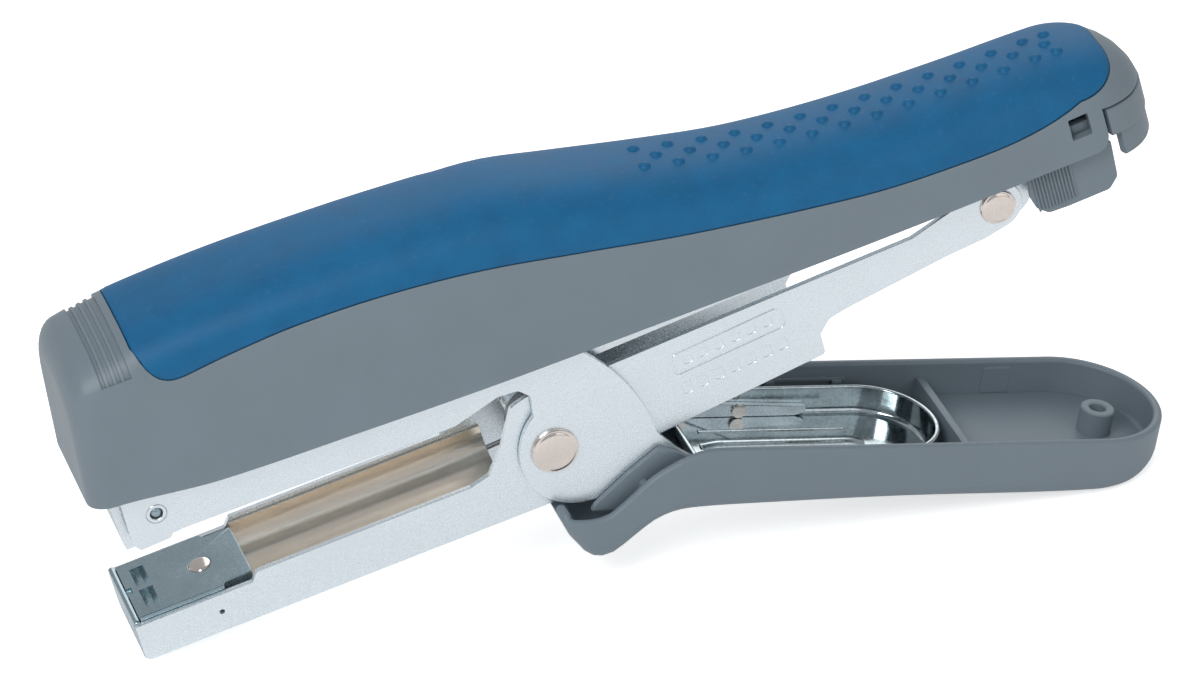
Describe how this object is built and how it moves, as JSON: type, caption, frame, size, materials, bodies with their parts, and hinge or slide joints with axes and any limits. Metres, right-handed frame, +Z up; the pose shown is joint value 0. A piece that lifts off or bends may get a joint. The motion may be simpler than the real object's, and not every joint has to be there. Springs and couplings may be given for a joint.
{
  "type": "plier stapler",
  "caption": "Hand-held plier stapler with crossing levers on one rivet, a rear-loaded staple magazine, a soft-topped driver handle and a hollow lower handle.",
  "frame": {"origin": "on the standing surface, under the middle of the stapler's overall box", "axes": "+X from the nose to the rear, +Y to the right side seen from the rear, +Z up"},
  "size_m": [0.2189, 0.034, 0.0922],
  "materials": {
    "shell_plastic": "fine matte",
    "blue_grip": "soft satin",
    "plated_steel": "satin silver coating",
    "rivet_steel": "turned",
    "anvil_steel": "satin",
    "bright_liner": "bright",
    "spring_steel": "drawn wire",
    "rod_steel": "drawn rod",
    "staple_wire": "zinc plated wire",
    "black_nylon": "satin"
  },
  "bodies": {
    "frame": {"left_frame_plate": "plated_steel", "right_frame_plate": "plated_steel", "pivot_rivet": "rivet_steel", "pivot_spacer": "rod_steel", "opening_spring": "spring_steel", "nose_pins": "plated_steel", "handle_channel": "anvil_steel", "handle_rivets": "plated_steel", "lower_handle_shell": "shell_plastic"},
    "anvil_lever": {"anvil_arm": "plated_steel", "anvil_plate": "anvil_steel", "anvil_rivet": "rivet_steel", "jaw_liner": "bright_liner", "tail_rivet": "rivet_steel"},
    "magazine": {"magazine_channel": "plated_steel", "core_rail": "anvil_steel", "nose_block": "plated_steel", "rear_bracket": "plated_steel", "staple_strip": "staple_wire", "spring_seat": "plated_steel", "hinge_studs": "plated_steel", "lift_spring": "spring_steel"},
    "drawer": {"end_cap": "shell_plastic", "pusher_rod": "rod_steel", "pusher_spring": "spring_steel"},
    "staple_pusher": {"pusher": "black_nylon"},
    "left_pad": {"left_release_pad": "shell_plastic"},
    "right_pad": {"right_release_pad": "shell_plastic"},
    "top_handle": {"upper_handle_shell": "shell_plastic", "grip_overmould": "blue_grip", "hinge_bushes": "black_nylon", "handle_spine": "anvil_steel", "driver_blade": "anvil_steel", "driver_rivets": "anvil_steel"}
  },
  "joints": [
    {"name": "arm_pivot", "type": "hinge", "parent": "frame", "child": "anvil_lever", "pos_m": [-0.01704, 0, 0.03064], "axis": [0, 1, 0], "range_deg": [0, 11], "stiffness_Nm_per_rad": 1.7, "springref_deg": -20.05},
    {"name": "magazine_pivot", "type": "hinge", "parent": "frame", "child": "magazine", "pos_m": [-0.0938, 0, 0.03292], "axis": [0, 1, 0], "range_deg": [0, 6.2]},
    {"name": "top_handle_hinge", "type": "hinge", "parent": "magazine", "child": "top_handle", "pos_m": [0.07895, 0, 0.07986], "axis": [0, -1, 0], "range_deg": [0, 3.5], "stiffness_Nm_per_rad": 1.5, "springref_deg": -14.32, "deforming": ["lift_spring"]},
    {"name": "drawer_slide", "type": "slide", "parent": "magazine", "child": "drawer", "axis": [0.9686, 0, 0.2487], "range_m": [0, 0.075]},
    {"name": "pusher_slide", "type": "slide", "parent": "drawer", "child": "staple_pusher", "axis": [0.9686, 0, 0.2487], "range_m": [0, 0.05], "stiffness_N_per_m": 60, "springref_m": -0.06, "deforming": ["pusher_spring"]},
    {"name": "left_pad_press", "type": "slide", "parent": "drawer", "child": "left_pad", "axis": [0, 1, 0], "range_m": [0, 0.0008], "stiffness_N_per_m": 500, "springref_m": -0.003},
    {"name": "right_pad_press", "type": "slide", "parent": "drawer", "child": "right_pad", "axis": [0, -1, 0], "range_m": [0, 0.0008], "stiffness_N_per_m": 500, "springref_m": -0.003}
  ],
  "couplings": [
    {"joint": "magazine_pivot", "follows": "arm_pivot", "ratio": 0.56}
  ]
}
